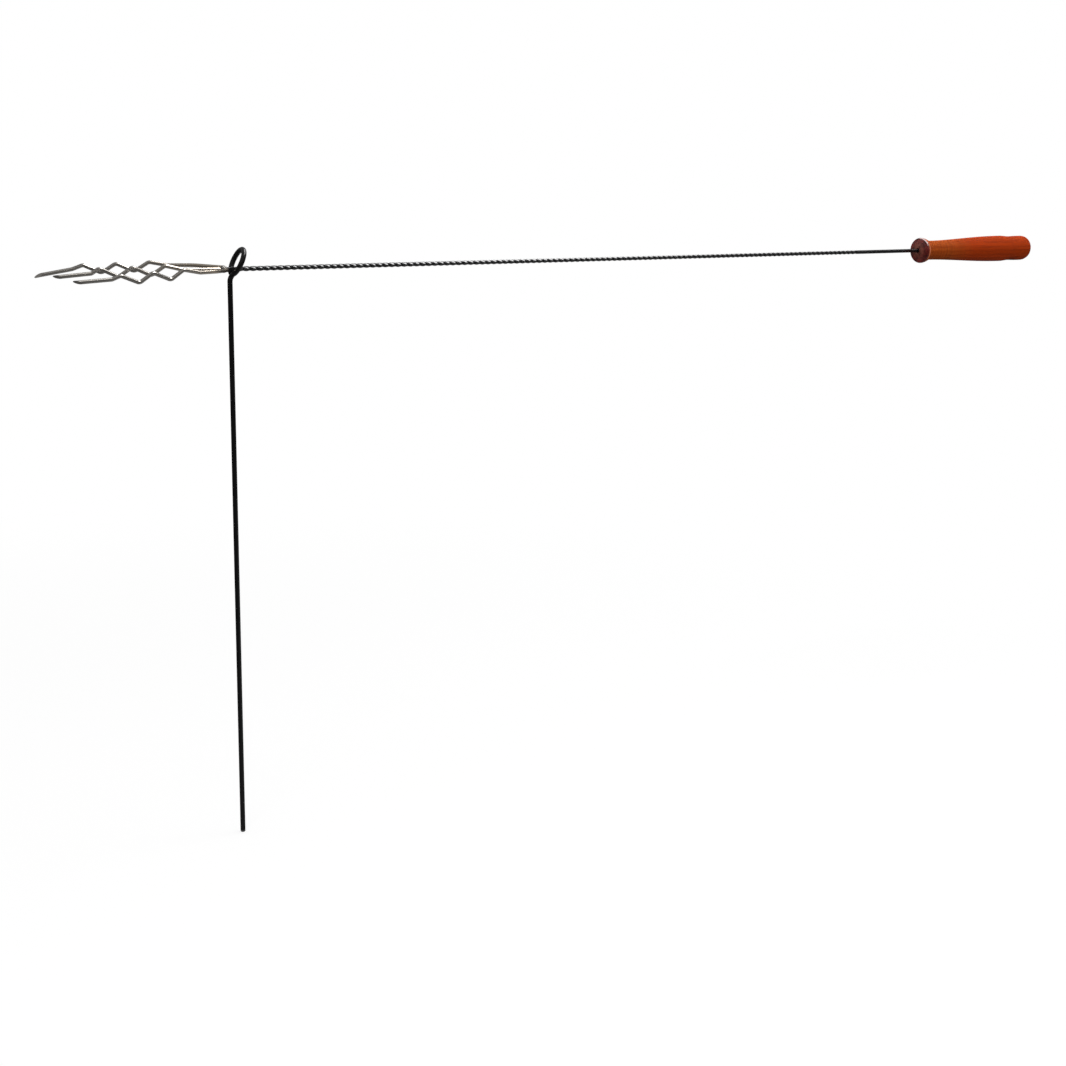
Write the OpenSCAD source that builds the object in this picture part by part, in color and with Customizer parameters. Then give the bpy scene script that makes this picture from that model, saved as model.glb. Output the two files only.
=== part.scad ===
// Campfire roasting fork: a three-tined fork on a twisted bar, carried in the eye of a ground stake.
// Millimetres. The origin is the centre of the stake's foot, +Z runs up the stake and +X towards the handle.

/* [Ground stake] */
// Diameter of the round rod
stake_d = 4.8; // [3.6:0.1:6]
// Height of the straight shank, from its foot to the bend under the eye
shank_h = 537.4; // [300:0.1:900]
// Bevel round the cut foot
foot_bevel = 0.6; // [0.2:0.1:1.2]

/* [Eye] */
// Inside diameter of the eye
eye_d = 19.8; // [16:0.2:32]
// Lean of the eye towards the handle, in degrees
eye_lean = 24.5; // [10:0.5:40]
// Turn of the eye about the stake, in degrees
eye_turn = 8; // [-20:1:20]
// Centre-line radius of the bend that leans the eye
lean_r = 8.5; // [4:0.5:12]
// Centre-line radius of the neck bend that brings the eye over the shank
neck_r = 4.2; // [4:0.1:8]
// Gap between the eye's free end and the neck
end_gap = 0.5; // [0.3:0.1:2]
// Play between the bar's corners and the eye it lies in
eye_play = 0.3; // [0.2:0.05:0.6]

/* [Bar] */
// Side of the square bar
bar_side = 3.6; // [3:0.1:5]
// Length of bar that a quarter turn of the twist takes
quarter_pitch = 7.15; // [5:0.05:12]
// Quarter turns in the twisted stretch
quarter_turns = 114; // [8:1:120]
// Plain bar between the fork's root and the twist
front_plain = 6; // [4:0.5:20]
// How far the twist goes on past its last quarter turn, in degrees
rear_turn = 16; // [0:1:45]
// Plain bar between the twist and the handle
rear_plain = 106.7; // [20:0.1:200]
// Tang: plain bar inside the handle
tang_len = 60; // [30:1:90]

/* [Fork head] */
// Diameter of the tine wire
wire_d = 3.5; // [2.5:0.1:5]
// Length of the root weld
weld_len = 10; // [7:0.5:16]
// Radius of the root weld at its middle
weld_r = 3.3; // [3.1:0.1:3.6]
// Weld metal between the bar's flats and the outer wires
weld_gap = 0.15; // [0.1:0.05:0.4]
// Distance from the rear end of the weld to the roots of the outer wires
root_step = 3; // [2.5:0.1:4]
// Angle at which the outer wires leave the bar, in degrees
root_splay = 48; // [38:1:55]
// Heights of the wires' roots against the bar's axis: near, centre and far tine
root_lifts = [-0.7, 0, 1.5]; // [-2:0.1:2]
// Half width between the outer tines at the elbow where they turn forwards
elbow_half = 25.5; // [15:0.5:30]
// Centre-line radius of the elbow
elbow_r = 25; // [8:1:35]
// Distance from the root to the first low point of the tines
first_low = 43.6; // [40:0.2:60]
// Half width between the outer tines at the first low point
shoulder_half = 33.5; // [20:0.5:45]
// Height of the middle tine's first low point against the bar's axis
low_height = 0.5; // [-2:0.1:3]
// How much higher than that the outer tines run from the elbow to their first low point
shoulder_rise = 0.9; // [-1:0.1:3]
// Centre-line radius of the outer tines' bend at the first low point
shoulder_r = 12; // [5:1:20]
// Waves in each tine
wave_count = 3; // [1:1:4]
// Length of a wave's rise from a low point to the top: near, centre and far tine
rise_lens = [17.6, 17.6, 16.6]; // [15:0.2:22]
// Length of a wave's drop from its top to the next low point
drop_len = 13.2; // [12:0.2:20]
// Height of the first wave's top above the bar's axis
first_top = 4.5; // [2:0.5:8]
// Height of a wave from low point to top
wave_height = 8.2; // [4:0.2:10]
// Fall from one wave to the next: near, centre and far tine
wave_falls = [1.5, 0.4, 0.9]; // [0:0.1:2]
// Centre-line radius of the zigzag bends
wave_r = 4.5; // [3.5:0.5:7]
// How far out along each tine its hand-bent waves sit: near, centre and far tine
tine_shifts = [0, 1.2, 1.4]; // [-2:0.1:2]
// How high each tine's hand-bent waves sit: near, centre and far tine
tine_lifts = [-1.4, 0, 1.4]; // [-3:0.1:3]
// Distance from the last top to the start of the straight point
point_start = 8.2; // [7:0.1:16]
// Length of the straight point
point_len = 34.4; // [15:0.2:50]
// Heights of the points' starts against the bar's axis: near, centre and far tine
point_heights = [-2.9, -0.6, 0.6]; // [-5:0.1:2]
// Heights of the tips against the bar's axis: near, centre and far tine
tip_heights = [-4.7, -3.1, -4.8]; // [-10:0.1:4]
// Half width between the outer tines at the tips
tip_half = 46.4; // [30:0.2:60]
// Slant of the cut tips against the wire, in degrees
tip_slant = 25; // [20:1:60]
// Way each tip's cut faces, turned down from the near side, in degrees: near, centre and far tine
cut_turns = [45, 40, -55]; // [-90:1:90]

/* [Handle] */
// Length of the handle
handle_len = 203.5; // [140:0.5:260]
// Diameter of the bead at the handle's face
bead_d = 30.5; // [26:0.5:40]
// Diameter of the neck behind the bead
neck_d = 23.2; // [18:0.1:30]
// Diameter of the swell in the hand
swell_d = 32; // [26:0.5:40]
// Diameter at the bottom of the turned groove
groove_d = 30; // [24:0.5:38]
// Diameter of the tail behind the groove
tail_d = 30.8; // [26:0.5:38]
// Height of the domed face over the rim round it
face_dome = 3; // [1:0.5:6]
// Rounding of the bead's front edge
bead_edge = 2; // [1:0.5:4]
// Length of the hollow from the bead to the neck
bead_len = 15; // [8:0.5:24]
// How early the swell grows: below 1 it fills out sooner
swell_early = 0.9; // [0.6:0.05:1.4]
// Length of the fall from the swell to the groove
groove_fall = 17; // [10:0.5:30]
// Length of the rise from the groove to the full tail
groove_rise = 14; // [6:0.5:24]
// Length of the full tail, up to the rounded end
tail_run = 8; // [2:0.5:16]
// Length of the rounded end
end_round = 11; // [6:0.5:13]
// Squareness of the rounded end: 2 is an ellipse
end_square = 3.2; // [2:0.1:4]
// Running clearance between the tang's corners and the handle's bore
bore_play = 0.05; // [0.02:0.01:0.1]
// Depth of the bore beyond the tang
bore_rest = 2; // [1:0.5:6]

/* [Hidden] */
$fn = 48;

bar_corner = bar_side / sqrt(2);
eye_r = (eye_d + stake_d) / 2;

// Directions of the eye: up its plane, level towards the near side, and the way the rod leans
up = [0, 0, 1];
lean_way = [cos(eye_turn), -sin(eye_turn), 0];
eye_up = sin(eye_lean) * lean_way + cos(eye_lean) * up;
eye_side = [-sin(eye_turn), -cos(eye_turn), 0];

// The neck bend and the ring touch on the line between their centres, which sets the ring over the shank
neck_foot = [0, 0, shank_h] + lean_r * (1 - cos(eye_lean)) * lean_way + lean_r * sin(eye_lean) * up;
neck_turn = acos(neck_r / (eye_r + neck_r));
eye_rise = sqrt(eye_r * eye_r + 2 * eye_r * neck_r);
eye_centre = neck_foot + eye_rise * eye_up;

// Angle from the ring's lowest point to its free end, which stops end_gap short of the neck
end_reach = neck_r + stake_d + end_gap;
end_angle = neck_turn + asin((end_reach * end_reach - eye_r * eye_r - pow(eye_r + neck_r, 2))
                             / (2 * eye_r * (eye_r + neck_r)));
ring_sweep = 270 + neck_turn - end_angle;

function neck_point(a) = neck_foot + neck_r * (1 - cos(a)) * eye_side + neck_r * sin(a) * eye_up;
function ring_point(a) = eye_centre + eye_r * (sin(a) * eye_side - cos(a) * eye_up);

// Points along the rod where the bar can lie: the neck and both lower quarters of the ring
seat_steps = 24;
seat_points = concat(
    [for (i = [0:seat_steps]) neck_point(i / seat_steps * neck_turn)],
    [for (i = [0:seat_steps]) ring_point(90 - neck_turn + i / seat_steps * neck_turn)],
    [for (i = [0:seat_steps]) ring_point(-end_angle - i / seat_steps * (90 - end_angle))]
);

// Places along the bar are rounded to this step, away from the rod, so that the bar's stretches meet
place_step = 0.01;

// The bar drops into the eye until it is eye_play from the rod
seat_reach = stake_d / 2 + bar_corner + eye_play;
function lie_height(q) = abs(q.y) < seat_reach ? q.z + sqrt(seat_reach * seat_reach - q.y * q.y) : 0;
bar_z = place_step * ceil(max([for (q = seat_points) lie_height(q)]) / place_step);

// Drawn right back, the fork's root stops eye_play short of the rod, however the fork is turned
root_r = bar_side / 2 + weld_gap + wire_d;
root_reach = stake_d / 2 + eye_play;
function beyond_root(q) = max(0, norm([q.y, q.z - bar_z]) - root_r);
function root_gap(q) = sqrt(max(0, pow(root_reach, 2) - pow(beyond_root(q), 2)));
root_x = place_step * floor(min([for (q = seat_points) q.x - root_gap(q)]) / place_step);

joint_x = root_x - weld_len / 2;
twist_x = root_x + front_plain;
twist_quarters = quarter_turns + rear_turn / 90;
twist_len = place_step * round(twist_quarters * quarter_pitch / place_step);
quarter_slices = 4;
handle_x = twist_x + twist_len + rear_plain;

// Lays a shape that was drawn along Z onto the bar's axis, starting at x
module on_axis(x) {
    translate([x, 0, bar_z]) rotate([0, 90, 0]) children();
}

function unit(v) = v / norm(v);

// The stake's rod is a straight shank and bends, each a nick short at both ends, with a ball at each joint
nick = 0.04;
ball_rise = 0.02;

// Facets of a tine's wire: round it, and along each bend
wire_sides = 16;
bend_steps = 5;

module joint_ball(at, d) {
    translate(at) sphere(d = d + ball_rise);
}

// Straight round rod from a to b
module rod(a, b, d) {
    along = unit(b - a);
    side = unit(cross(abs(along.z) > 0.9 ? [1, 0, 0] : [0, 0, 1], along));
    third = cross(along, side);
    begin = a + nick * along;
    multmatrix([
        [side.x, third.x, along.x, begin.x],
        [side.y, third.y, along.y, begin.y],
        [side.z, third.z, along.z, begin.z]
    ])
        cylinder(h = norm(b - a) - 2 * nick, d = d);
}

// Bend in round rod: from centre it starts out towards out, heads along start and turns through sweep
module bend(centre, out, start, radius, sweep, d) {
    square_to = cross(out, start);
    spare = nick / radius * 180 / PI;
    multmatrix([
        [out.x, start.x, square_to.x, centre.x],
        [out.y, start.y, square_to.y, centre.y],
        [out.z, start.z, square_to.z, centre.z]
    ])
        rotate([0, 0, spare]) rotate_extrude(angle = sweep - 2 * spare) translate([radius, 0]) circle(d = d);
}

// Bend in a wire at b, on its way from a to c: rings of [point, heading] along the arc
function bend_rings(a, b, c, radius) =
    let (
        heading = unit(b - a),
        turn = acos(heading * unit(c - b)),
        begin = b - radius * tan(turn / 2) * heading,
        centre = b + radius / cos(turn / 2) * unit(unit(c - b) - heading),
        out = unit(begin - centre)
    )
    [for (i = [0:bend_steps]) let (t = i / bend_steps * turn)
        [centre + radius * (cos(t) * out + sin(t) * heading), cos(t) * heading - sin(t) * out]];

// Point on the wire's skin at angle a, from the near side up, pushed along the wire by a given length
function skin_point(ring, a, push) =
    let (side = unit(cross(up, ring[1])))
    ring[0] + wire_d / 2 * (cos(a) * side + sin(a) * cross(ring[1], side)) + push * ring[1];

// Wire through a list of points, rounded at each inner point by its radius, with an oblique cut at its tip
module bent_wire(points, radii, cut_turn) {
    last = len(points) - 1;
    first_heading = unit(points[1] - points[0]);
    rings = concat(
        [[points[0] + nick * first_heading, first_heading]],
        [for (i = [1:last - 1], ring = bend_rings(points[i - 1], points[i], points[i + 1], radii[i])) ring],
        [[points[last], unit(points[last] - points[last - 1])]]
    );
    last_ring = len(rings) - 1;
    function cut_back(a) = -wire_d / 2 * (1 + cos(a + cut_turn)) / tan(tip_slant);
    polyhedron(
        [for (k = [0:last_ring], i = [0:wire_sides - 1]) let (a = 360 * i / wire_sides)
            skin_point(rings[k], a, k == last_ring ? cut_back(a) : 0)],
        concat(
            [[for (i = [0:wire_sides - 1]) i]],
            [for (k = [0:last_ring - 1], i = [0:wire_sides - 1])
                let (here = k * wire_sides, there = here + wire_sides, next = (i + 1) % wire_sides)
                [here + i, there + i, there + next, here + next]],
            [[for (i = [wire_sides - 1:-1:0]) last_ring * wire_sides + i]]
        )
    );
}

module ground_stake() {
    color("#161616") {
        cylinder(h = foot_bevel, d1 = stake_d - 2 * foot_bevel, d2 = stake_d);
        translate([0, 0, foot_bevel]) cylinder(h = shank_h - foot_bevel - nick, d = stake_d);
        joint_ball([0, 0, shank_h], stake_d);
        bend([0, 0, shank_h] + lean_r * lean_way, -lean_way, up, lean_r, eye_lean, stake_d);
        joint_ball(neck_foot, stake_d);
        bend(neck_foot + neck_r * eye_side, -eye_side, eye_up, neck_r, neck_turn, stake_d);
        joint_ball(neck_point(neck_turn), stake_d);
        bend(
            eye_centre,
            sin(90 - neck_turn) * eye_side - cos(90 - neck_turn) * eye_up,
            cos(90 - neck_turn) * eye_side + sin(90 - neck_turn) * eye_up,
            eye_r, ring_sweep, stake_d
        );
    }
}

// Plain square bar from x on, turned about its axis
module plain_bar(x, length, turn = 0) {
    on_axis(x) rotate(turn) linear_extrude(length) square(bar_side, center = true);
}

// The bar is plain at both ends, and twisted right-handed between
module twisted_shaft() {
    slices = ceil(quarter_slices * twist_quarters);
    color("#1c1c1e") {
        plain_bar(joint_x, twist_x - joint_x);
        on_axis(twist_x)
            linear_extrude(twist_len, twist = -90 * twist_quarters, slices = slices, segments = 4)
                square(bar_side, center = true);
        plain_bar(twist_x + twist_len, rear_plain + tang_len, rear_turn);
    }
}

// Where the outer wires start beside the bar, and how far from the root they reach their elbow
root_side = bar_side / 2 + weld_gap + wire_d / 2 * cos(root_splay);
elbow_at = root_step + (elbow_half - root_side) / tan(root_splay);

// Half width between the outer tines past the shoulder: it eases out towards the tips
wave_len = rise_lens[1] + drop_len;
point_x = first_low + wave_count * wave_len - drop_len + point_start;
tine_len = point_x + point_len;
function ease(t) = 1 - pow(1 - t, 2);
function spread(s) = ease((s - first_low) / (tine_len - first_low));
function half_width(s) = shoulder_half + (tip_half - shoulder_half) * spread(s);

// One tine: side is -1 for the near one, 0 for the centre and 1 for the far
function fork_point(s, half, height) = [root_x - s, half, bar_z + height];
function tine_point(s, side, height) = fork_point(s, side * half_width(s), height);
function shoulder_height(side) = low_height + tine_lifts[side + 1] + (side == 0 ? 0 : shoulder_rise);

// Low points and tops in turn: how far from the root, and how high against the bar's axis
function wave_at(side, i) = let (rise = rise_lens[side + 1])
    first_low + tine_shifts[side + 1] + floor(i / 2) * (rise + drop_len) + (i % 2) * rise;
function wave_level(side, i) = i == 0 ? shoulder_height(side)
    : first_top + tine_lifts[side + 1] - floor((i - 1) / 2) * wave_falls[side + 1]
        - (i % 2 == 0 ? wave_height : 0);

function tine_points(side) = concat(
    side == 0 ? [[joint_x, 0, bar_z + root_lifts[1]]]
        : [fork_point(root_step, side * root_side, root_lifts[side + 1]),
            fork_point(elbow_at, side * elbow_half, shoulder_height(side))],
    [for (i = [0:2 * wave_count - 1]) tine_point(wave_at(side, i), side, wave_level(side, i))],
    [tine_point(point_x, side, point_heights[side + 1]), tine_point(tine_len, side, tip_heights[side + 1])]
);
function tine_radii(side) = concat(side == 0 ? [0] : [0, elbow_r, shoulder_r],
    [for (i = [side == 0 ? 0 : 1:2 * wave_count]) wave_r]);

module tine(side) {
    color("#b4b2ae") bent_wire(tine_points(side), tine_radii(side), cut_turns[side + 1]);
}

module near_tine() {
    tine(-1);
}

module centre_tine() {
    tine(0);
}

module far_tine() {
    tine(1);
}

// Weld metal fills the spaces between the bar and the three wires
module root_weld() {
    arc_r = (weld_len * weld_len / 4 + weld_r * weld_r) / (2 * weld_r);
    color("#8f8c86") difference() {
        on_axis(root_x - weld_len) rotate_extrude() intersection() {
            translate([weld_r - arc_r, weld_len / 2]) circle(r = arc_r, $fn = 96);
            square([weld_r, weld_len]);
        }
        plain_bar(joint_x, weld_len);
        for (side = [-1:1]) {
            points = tine_points(side);
            rod(points[0], points[1], wire_d);
        }
    }
}

// Handle outline: each stretch runs from one diameter to the next on half a cosine wave
turned_steps = 12;
function glide(from, to, t) = from + (to - from) * (1 - cos(180 * t)) / 2;
function stretch(from, to, start, end, early = 1) = [for (i = [1:turned_steps])
    [glide(from, to, pow(i / turned_steps, early)) / 2, start + i / turned_steps * (end - start)]];
function dome_drop(r) = dome_r - sqrt(dome_r * dome_r - r * r);
function end_taper(t) = pow(1 - pow(t, end_square), 1 / end_square);
function end_point(t) = [tail_d / 2 * end_taper(t), end_at + t * end_round];
rim_r = bead_d / 2 - bead_edge;
dome_r = (rim_r * rim_r + face_dome * face_dome) / (2 * face_dome);
bead_at = face_dome + bead_edge;
neck_at = bead_at + bead_len;
end_at = handle_len - end_round;
tail_at = end_at - tail_run;
groove_at = tail_at - groove_rise;
swell_at = groove_at - groove_fall;
handle_outline = concat(
    [for (i = [0:turned_steps]) [i / turned_steps * rim_r, dome_drop(i / turned_steps * rim_r)]],
    [for (a = [15:15:90]) [rim_r + bead_edge * sin(a), bead_at - bead_edge * cos(a)]],
    stretch(bead_d, neck_d, bead_at, neck_at),
    stretch(neck_d, swell_d, neck_at, swell_at, swell_early),
    stretch(swell_d, groove_d, swell_at, groove_at),
    stretch(groove_d, tail_d, groove_at, tail_at),
    [for (i = [0:turned_steps]) end_point(i / turned_steps)]
);

module handle() {
    color("#a5391a") on_axis(handle_x) difference() {
        rotate_extrude($fn = 72) polygon(handle_outline);
        translate([0, 0, -bore_rest])
            cylinder(h = tang_len + 2 * bore_rest, r = bar_corner + bore_play);
    }
}

ground_stake();
twisted_shaft();
near_tine();
centre_tine();
far_tine();
root_weld();
handle();
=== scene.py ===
import math

import bpy
import numpy as np
from mathutils import Matrix, Vector


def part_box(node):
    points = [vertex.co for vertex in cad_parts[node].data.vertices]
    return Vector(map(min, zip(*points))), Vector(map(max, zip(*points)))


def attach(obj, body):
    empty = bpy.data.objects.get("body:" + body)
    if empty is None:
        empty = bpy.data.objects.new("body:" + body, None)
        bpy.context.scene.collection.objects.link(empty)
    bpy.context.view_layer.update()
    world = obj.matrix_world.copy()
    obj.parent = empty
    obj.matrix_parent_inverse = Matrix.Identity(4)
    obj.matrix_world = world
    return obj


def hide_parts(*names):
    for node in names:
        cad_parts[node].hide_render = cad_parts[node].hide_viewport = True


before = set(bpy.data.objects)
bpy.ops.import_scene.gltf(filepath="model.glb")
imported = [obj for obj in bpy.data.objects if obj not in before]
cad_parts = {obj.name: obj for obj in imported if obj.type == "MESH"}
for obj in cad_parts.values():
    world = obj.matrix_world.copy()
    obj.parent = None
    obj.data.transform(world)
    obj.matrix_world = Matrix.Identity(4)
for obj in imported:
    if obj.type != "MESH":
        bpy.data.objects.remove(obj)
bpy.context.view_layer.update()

# Campfire roasting fork: a three-tined fork on a twisted bar, lying in the eye of a ground stake.
# Everything is in metres. The stake's foot is at the origin, +Z runs up the stake, +X towards the handle.

barLow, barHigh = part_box("twisted_shaft")
handleLow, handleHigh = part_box("handle")
barAxisZ = (barLow.z + barHigh.z) / 2
upWay = np.array([0.0, 0.0, 1.0])


# Camera and studio

cameraView = {
    "place": (-0.6981, -1.4367, 0.6493),
    "turn": 36.073,       # degrees from +Y towards +X
    "dip": 12.34,         # degrees below level
    "roll": 0.83,
    "lens": 57.34,
}
studio = {
    "skyLight": 0.5,          # what the sky gives to the object
    "keyPlace": (1.0, -0.25, 2.15),
    "keySize": (1.3, 0.6),
    "keyPower": 10.0,
    "fillPlace": (-1.9, -2.3, 1.5),
    "fillSize": (1.2, 1.2),
    "fillPower": 29.0,
    "floorSize": 24.0,
    "floorTone": 0.25,        # the floor as the object's underside sees it
    "floorLight": 0.75,       # what the lamps give to the floor
    "shadowShare": 0.2,       # how much of the floor's white comes from the lamps, and so gives way to shadow
    "shadowReach": 1.6,
}
# What only reflections see: a dim room round the object, a pool of light on its floor and a long soft light
# over the bar, which makes the gleams on the twist and fades out towards the handle
room = {
    "radius": 3.4,
    "lowTone": 0.06,
    "highTone": 0.27,
    "toneRise": (0.08, 0.62),     # share of the radius over which the wall brightens
    "floorSize": 7.0,
    "floorTone": 0.07,
    "poolTone": 0.3,
    "poolPlace": (0.9, -0.2),
    "poolReach": (0.3, 1.5),
    "gleamHeight": 2.15,
    "gleamX": (0.1, 0.4, 1.5, 2.3),       # starts, is full, starts to fade, ends
    "gleamY": (-1.15, -0.6, 0.1, 0.6),
    "gleamTone": 1.15,
    "coreX": (0.76, 0.98, 1.5, 2.3),      # the brighter part, seen only from well below, as through a grid
    "coreY": (-2.7, -1.6, 0.9, 1.7),
    "coreTone": 12.0,
    "coreFacing": (0.2, 0.32),
    "stripHeight": 1.0,                   # a long light close over the bar
    "stripX": (0.46, 0.6, 0.86, 1.08),
    "stripY": (-1.1, -0.75, 0.35, 0.65),
    "stripTone": 10.0,
    "stripFacing": (0.28, 0.42),
}


def makeCamera(s):
    a, p, r = (math.radians(s[k]) for k in ("turn", "dip", "roll"))
    ahead = Vector((math.sin(a) * math.cos(p), math.cos(a) * math.cos(p), -math.sin(p)))
    right = Vector((math.cos(a), -math.sin(a), 0))
    top = right.cross(ahead)
    rolledRight = right * math.cos(r) + top * math.sin(r)
    rolledTop = top * math.cos(r) - right * math.sin(r)
    camera = bpy.data.objects.new("camera", bpy.data.cameras.new("camera"))
    camera.data.lens = s["lens"]
    camera.data.clip_start = 0.01
    turned = Matrix((rolledRight, rolledTop, -ahead)).transposed()
    camera.matrix_world = Matrix.Translation(s["place"]) @ turned.to_4x4()
    bpy.context.collection.objects.link(camera)
    bpy.context.scene.camera = camera


def addNode(tree, kind, **values):
    made = tree.nodes.new(kind)
    for name, value in values.items():
        if hasattr(made, name):
            setattr(made, name, value)
        else:
            made.inputs[name.replace("_", " ")].default_value = value
    return made


def seenDirectly(tree):
    # 1 for camera, glossy and transmission rays, 0 for the light that falls on the object
    rays = addNode(tree, "ShaderNodeLightPath")
    either = addNode(tree, "ShaderNodeMath", operation="MAXIMUM")
    anyOf = addNode(tree, "ShaderNodeMath", operation="MAXIMUM")
    tree.links.new(rays.outputs["Is Camera Ray"], either.inputs[0])
    tree.links.new(rays.outputs["Is Glossy Ray"], either.inputs[1])
    tree.links.new(either.outputs[0], anyOf.inputs[0])
    tree.links.new(rays.outputs["Is Transmission Ray"], anyOf.inputs[1])
    return anyOf.outputs[0]


def makeSky(s):
    world = bpy.data.worlds.new("sky")
    world.use_nodes = True
    tree = world.node_tree
    back = tree.nodes["Background"]
    back.inputs["Color"].default_value = (1, 1, 1, 1)
    strength = addNode(tree, "ShaderNodeMapRange")
    strength.inputs["To Min"].default_value = s["skyLight"]
    strength.inputs["To Max"].default_value = 1.0
    tree.links.new(seenDirectly(tree), strength.inputs["Value"])
    tree.links.new(strength.outputs["Result"], back.inputs["Strength"])
    bpy.context.scene.world = world


def makeFloorPaper(s):
    # White floor: a glow, and a diffuse share near the object that the lamps bring up to white where nothing shades it
    paper = bpy.data.materials.new("floorPaper")
    paper.use_nodes = True
    tree = paper.node_tree
    tree.nodes.clear()
    out = addNode(tree, "ShaderNodeOutputMaterial")
    plain = addNode(tree, "ShaderNodeBsdfDiffuse", Color=(s["floorTone"],) * 3 + (1,))
    lit = addNode(tree, "ShaderNodeBsdfDiffuse")
    glow = addNode(tree, "ShaderNodeEmission", Color=(1, 1, 1, 1))
    place = addNode(tree, "ShaderNodeTexCoord")
    distance = addNode(tree, "ShaderNodeVectorMath", operation="LENGTH")
    share = addNode(tree, "ShaderNodeMapRange", interpolation_type="SMOOTHSTEP")
    share.inputs["From Min"].default_value = 0.3 * s["shadowReach"]
    share.inputs["From Max"].default_value = s["shadowReach"]
    share.inputs["To Min"].default_value = s["shadowShare"]
    share.inputs["To Max"].default_value = 0.0
    rest = addNode(tree, "ShaderNodeMath", operation="SUBTRACT")
    rest.inputs[0].default_value = 1.0
    albedo = addNode(tree, "ShaderNodeMath", operation="DIVIDE")
    albedo.inputs[1].default_value = s["floorLight"]
    white = addNode(tree, "ShaderNodeAddShader")
    final = addNode(tree, "ShaderNodeMixShader")
    tree.links.new(place.outputs["Object"], distance.inputs[0])
    tree.links.new(distance.outputs["Value"], share.inputs["Value"])
    tree.links.new(share.outputs["Result"], rest.inputs[1])
    tree.links.new(share.outputs["Result"], albedo.inputs[0])
    tree.links.new(rest.outputs[0], glow.inputs["Strength"])
    tree.links.new(albedo.outputs[0], lit.inputs["Color"])
    tree.links.new(glow.outputs[0], white.inputs[0])
    tree.links.new(lit.outputs[0], white.inputs[1])
    tree.links.new(seenDirectly(tree), final.inputs["Fac"])
    tree.links.new(plain.outputs[0], final.inputs[1])
    tree.links.new(white.outputs[0], final.inputs[2])
    tree.links.new(final.outputs[0], out.inputs["Surface"])
    return paper


def stagePiece(name, corners, faces, material):
    mesh = bpy.data.meshes.new(name)
    mesh.from_pydata(corners, [], faces)
    mesh.materials.append(material)
    thing = bpy.data.objects.new(name, mesh)
    bpy.context.collection.objects.link(thing)
    return thing


def flatSheet(name, x, y, z, material):
    corners = [(x[0], y[0], z), (x[1], y[0], z), (x[1], y[1], z), (x[0], y[1], z)]
    return stagePiece(name, corners, [(0, 1, 2, 3)], material)


def glowPaper(name):
    paper = bpy.data.materials.new(name)
    paper.use_nodes = True
    tree = paper.node_tree
    tree.nodes.clear()
    out = addNode(tree, "ShaderNodeOutputMaterial")
    glow = addNode(tree, "ShaderNodeEmission", Color=(1, 1, 1, 1))
    tree.links.new(glow.outputs[0], out.inputs["Surface"])
    place = addNode(tree, "ShaderNodeTexCoord").outputs["Object"]
    return paper, tree, place, glow.inputs["Strength"]


def smoothStep(tree, value, fromMin, fromMax, toMin=0.0, toMax=1.0):
    span = addNode(tree, "ShaderNodeMapRange", interpolation_type="SMOOTHSTEP")
    tree.links.new(value, span.inputs["Value"])
    for label, number in (("From Min", fromMin), ("From Max", fromMax), ("To Min", toMin), ("To Max", toMax)):
        span.inputs[label].default_value = number
    return span.outputs["Result"]


def onlyReflected(thing):
    thing.visible_camera = thing.visible_diffuse = thing.visible_transmission = thing.visible_shadow = False


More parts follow.
